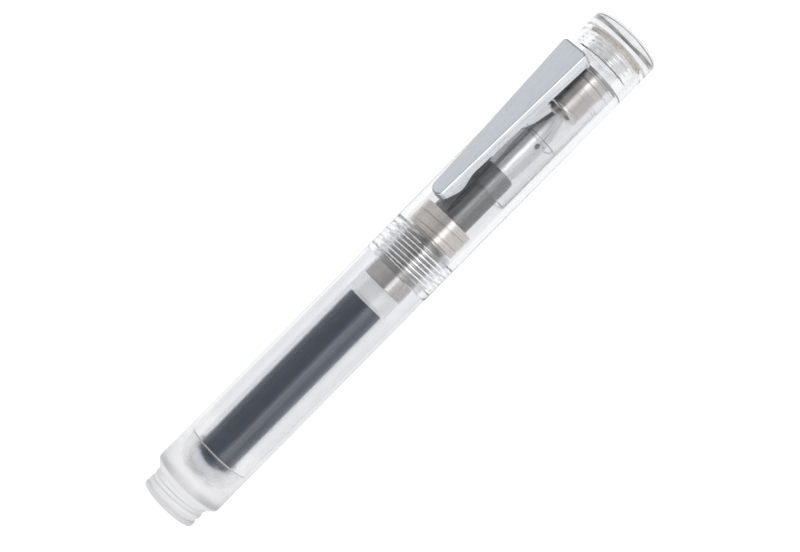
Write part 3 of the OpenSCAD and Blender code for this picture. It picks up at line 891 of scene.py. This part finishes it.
def fin_row():
    row = bpy.data.node_groups.new("fin_row", "GeometryNodeTree")
    row.is_modifier = True
    row.interface.new_socket("Geometry", in_out="INPUT", socket_type="NodeSocketGeometry")
    row.interface.new_socket("Count", in_out="INPUT", socket_type="NodeSocketInt")
    row.interface.new_socket("Pitch", in_out="INPUT", socket_type="NodeSocketFloat")
    row.interface.new_socket("Finish", in_out="INPUT", socket_type="NodeSocketMaterial")
    row.interface.new_socket("Geometry", in_out="OUTPUT", socket_type="NodeSocketGeometry")
    nodes, links = row.nodes, row.links
    given = nodes.new("NodeGroupInput")
    step = nodes.new("ShaderNodeCombineXYZ")
    line = nodes.new("GeometryNodeMeshLine")
    line.mode = "OFFSET"
    place = nodes.new("GeometryNodeInstanceOnPoints")
    real = nodes.new("GeometryNodeRealizeInstances")
    paint = nodes.new("GeometryNodeSetMaterial")
    done = nodes.new("NodeGroupOutput")
    links.new(given.outputs["Pitch"], step.inputs["X"])
    links.new(given.outputs["Count"], line.inputs["Count"])
    links.new(step.outputs[0], line.inputs["Offset"])
    links.new(line.outputs[0], place.inputs["Points"])
    links.new(given.outputs["Geometry"], place.inputs["Instance"])
    links.new(place.outputs[0], real.inputs[0])
    links.new(real.outputs[0], paint.inputs["Geometry"])
    links.new(given.outputs["Finish"], paint.inputs["Material"])
    links.new(paint.outputs[0], done.inputs[0])
    return row


def feed_r(x):
    """The feed fills the nib's roll, and tapers to a nose beyond its shoulder."""
    return min(eased(NIB_ROLL, x) - NIB_SHEET - 0.03, 0.45 + (FEED_END - x) * 0.2)


rod = turned("feed_rod", [
    (FEED_START, 0), (FEED_START, 2.5, 0.2), (FIN_FIRST - 0.5, 2.5), (FIN_FIRST - 0.3, CORE_R),
    (FIN_FIRST + FIN_COUNT * FIN_PITCH, CORE_R),
    *[(x, feed_r(x)) for x in (86.2, 87, 88, 89, 89.5)], (FEED_END, 0.45, 0.1), (FEED_END, 0)],
    black_matt, sides=72)
stands_for(rod, "writing_unit", "black_matt", "feed")
fin_r = feed_r(82)
fins = turned("feed_fins", [
    (FIN_FIRST, CORE_R - 0.1), (FIN_FIRST, fin_r, 0.04), (FIN_FIRST + FIN_THICK, fin_r, 0.04),
    (FIN_FIRST + FIN_THICK, CORE_R - 0.1)], black_matt, sides=72)
comb = fins.modifiers.new("fins", "NODES")
comb.node_group = fin_row()
set_inputs(comb, Count=FIN_COUNT, Pitch=FIN_PITCH * MM, Finish=black_matt)
settle(fins)
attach(fins, "writing_unit")
print("fins:", FIN_COUNT, "feed faces:", len(rod.data.polygons) + len(fins.data.polygons))

# %% [markdown]
# ## Clip
# The clip is folded from one piece of sheet: a long flat face that narrows to a round point, sides folded
# down, and a bump near the point that presses on the cap. A box with bevels would lose the even sheet
# thickness, so the outside skin is drawn as rings that follow the outline of the face, go over the fold and
# down the sides, and Solidify gives the sheet its thickness inwards.

# %% Clip
CLIP_START = start_of("clip")
HEAD_HALF, POINT_HALF = 2.65, 1.35
HEAD_TOP, POINT_TOP = 10.6, 10.1
HEAD_LOW, POINT_LOW = 7.8, 8.0   # lower edge of the folded sides
CLIP_SHEET = 0.5
HEAD_CORNER = 0.8
FOLD = 0.45                     # radius of the folded edges
BUMP, BUMP_LENGTH = 69.8, 7.0


def clip_top(x):
    return POINT_TOP + (HEAD_TOP - POINT_TOP) * (x - CLIP_START) / (CLIP_END - CLIP_START)


def clip_low(x):
    """Lower edge of the folded side: straight, but for the bump that reaches down to the cap."""
    straight = POINT_LOW + (HEAD_LOW - POINT_LOW) * (x - BUMP) / (CLIP_END - BUMP)
    off = (x - BUMP) / (BUMP_LENGTH / 2)
    if abs(off) >= 1:
        return straight
    return straight - (straight - PEN_R - 0.1) * math.cos(math.pi / 2 * off) ** 2


def clip_outline():
    """The outline of the face seen from above, as (x, y) points, round the point and the head's corners."""
    points = []
    taper = math.atan((HEAD_HALF - POINT_HALF) / (CLIP_END - CLIP_START - POINT_HALF))
    for k in range(17):
        a = math.pi / 2 + taper + (math.pi - 2 * taper) * k / 16
        points.append((CLIP_START + POINT_HALF + POINT_HALF * math.cos(a), POINT_HALF * math.sin(a)))
    side = [(points[-1][0] + (CLIP_END - HEAD_CORNER - points[-1][0]) * k / 60) for k in range(1, 60)]
    low = points[-1]
    points += [(x, low[1] - (HEAD_HALF + low[1]) * (x - low[0]) / (CLIP_END - low[0])) for x in side]
    for k in range(9):
        a = -math.pi / 2 + math.pi / 2 * k / 8
        points.append((CLIP_END - HEAD_CORNER + HEAD_CORNER * math.cos(a),
                       -HEAD_HALF + HEAD_CORNER + HEAD_CORNER * math.sin(a)))
    points += [(x, -y) for x, y in reversed(points[17:])]
    return points


def shrunk(outline, by):
    """The outline moved inwards by a distance."""
    moved = []
    for k, (x, y) in enumerate(outline):
        a = Vector(outline[k - 1])
        b = Vector(outline[(k + 1) % len(outline)])
        along = (b - a).normalized()
        moved.append((x - along.y * by, y + along.x * by))
    return moved


def build_clip():
    outline = clip_outline()
    work = bmesh.new()
    loops = []
    for k in range(6):
        a = math.pi / 2 * k / 5
        inset = FOLD * (1 - math.sin(a))
        drop = FOLD * (1 - math.cos(a))
        loops.append([(x, y, clip_top(x) - drop) for x, y in shrunk(outline, inset)])
    for share in (0.2, 0.4, 0.6, 0.8, 1.0):
        loops.append([(x, y, clip_top(x) - FOLD + (clip_low(x) - clip_top(x) + FOLD) * share)
                      for x, y in outline])
    rings = [[work.verts.new((TAIL + x * MM, y * MM, AXIS_Z + z * MM)) for x, y, z in loop]
             for loop in loops]
    for one, two in zip(rings, rings[1:]):
        for k in range(len(one)):
            n = (k + 1) % len(one)
            work.faces.new([one[k], one[n], two[n], two[k]])
    face = work.faces.new(rings[0])
    bmesh.ops.triangulate(work, faces=[face])
    bmesh.ops.recalc_face_normals(work, faces=work.faces)
    if sum(f.normal.z * f.calc_area() for f in work.faces) < 0:
        bmesh.ops.reverse_faces(work, faces=work.faces)
    for f in work.faces:
        f.material_index = 0 if f.normal.z > 0.985 else 1
    mesh = bpy.data.meshes.new("clip_folded")
    work.to_mesh(mesh)
    work.free()
    arm = add_piece("clip_folded", mesh, clip_satin, clip_bright)
    sheet = arm.modifiers.new("sheet", "SOLIDIFY")
    sheet.thickness = CLIP_SHEET * MM
    sheet.offset = -1
    sheet.use_even_offset = True
    sheet.material_offset = 1
    sheet.material_offset_rim = 1
    settle(arm)
    return arm


clip = build_clip()
print("clip faces:", len(clip.data.polygons))
stands_for(clip, "clip", "clip_chrome", "clip")

# %% [markdown]
# The leg is the end of the same sheet, narrowed and bent down through the slot in the cap, where it meets
# the tongue of the spring ring.

# %% Clip leg
LEG_HALF = 1.3
LEG_FOOT = 5.95


def build_leg():
    work = bmesh.new()
    bmesh.ops.create_cube(work, size=1)
    low = (TAIL + (CLIP_END - CLIP_SHEET) * MM, -LEG_HALF * MM, AXIS_Z + LEG_FOOT * MM)
    high = (TAIL + CLIP_END * MM, LEG_HALF * MM, AXIS_Z + (HEAD_LOW + 0.4) * MM)
    for vert in work.verts:
        vert.co = Vector([low[i] if vert.co[i] < 0 else high[i] for i in range(3)])
    for vert in work.verts:
        if vert.co.z > AXIS_Z + 8 * MM:
            vert.co.y *= 1.35
    mesh = bpy.data.meshes.new("clip_leg")
    work.to_mesh(mesh)
    work.free()
    leg = add_piece("clip_leg", mesh, clip_bright)
    edge = leg.modifiers.new("edge", "BEVEL")
    edge.width = 0.08 * MM
    edge.segments = 3
    settle(leg)
    return leg


leg = build_leg()
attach(leg, "clip")

# %% [markdown]
# ## Small pieces kept from the frame
# The spring ring, the cartridge's ball and the pellet on the nib's point already have their true shape in
# the frame, so they stay and only get their finish.

# %% Finishes for the frame's own pieces
for node, material in (("clip_ring", spring_steel), ("cartridge_ball", ball_plastic),
                       ("nib_tip", tip_alloy)):
    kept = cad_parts[node]
    kept.data.materials.clear()
    kept.data.materials.append(material)
    print(node, "keeps its CAD shape, with", material.name)

# %% [markdown]
# ## Floor
# The pen lies on a white light table. Its glow fills the clear edges from below, where a plain sheet of
# paper would leave them as dark outlines.

# %% Floor
paper = finish("floor_white", Base_Color=(0.3, 0.3, 0.3, 1), Emission_Color=(1, 1, 1, 1),
               Emission_Strength=0.9)
wander(paper, "Roughness", grain(paper, (90, 90, 90)), 0.75, 0.9)
sheet = bpy.data.meshes.new("floor")
reach = 3.0
sheet.from_pydata([(-reach, -reach, 0), (reach, -reach, 0), (reach, reach, 0), (-reach, reach, 0)], [],
                  [(0, 1, 2, 3)])
floor = add_piece("floor", sheet, paper)
